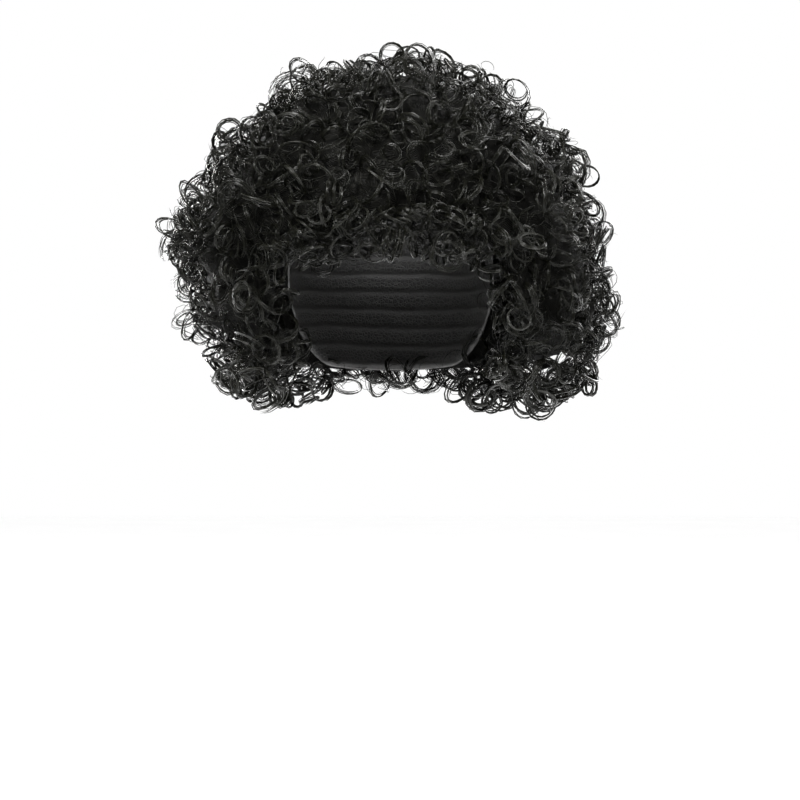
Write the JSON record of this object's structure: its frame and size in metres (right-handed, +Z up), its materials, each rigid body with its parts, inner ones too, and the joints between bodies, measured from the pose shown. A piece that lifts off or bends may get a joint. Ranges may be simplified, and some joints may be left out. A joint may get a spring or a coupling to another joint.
{
  "type": "afro wig",
  "caption": "Curly black afro wig: a soft net cap open below and at the face, carrying deep curls over the crown, fringe, sides, back and nape.",
  "frame": {"origin": "inside of the net cap at the crown, where the wig sits on the top of the head", "axes": "+Z up, the face looks along -Y, +X towards the wearer's left"},
  "size_m": [0.3132, 0.2931, 0.2429],
  "materials": {
    "hair": "glossy synthetic fibre",
    "net": "matt elastic net"
  },
  "bodies": {
    "root": {"net_cap": "net", "crown_curls": "hair", "fringe_curls": "hair", "left_side_curls": "hair", "right_side_curls": "hair", "back_curls": "hair", "nape_curls": "hair"}
  },
  "joints": []
}
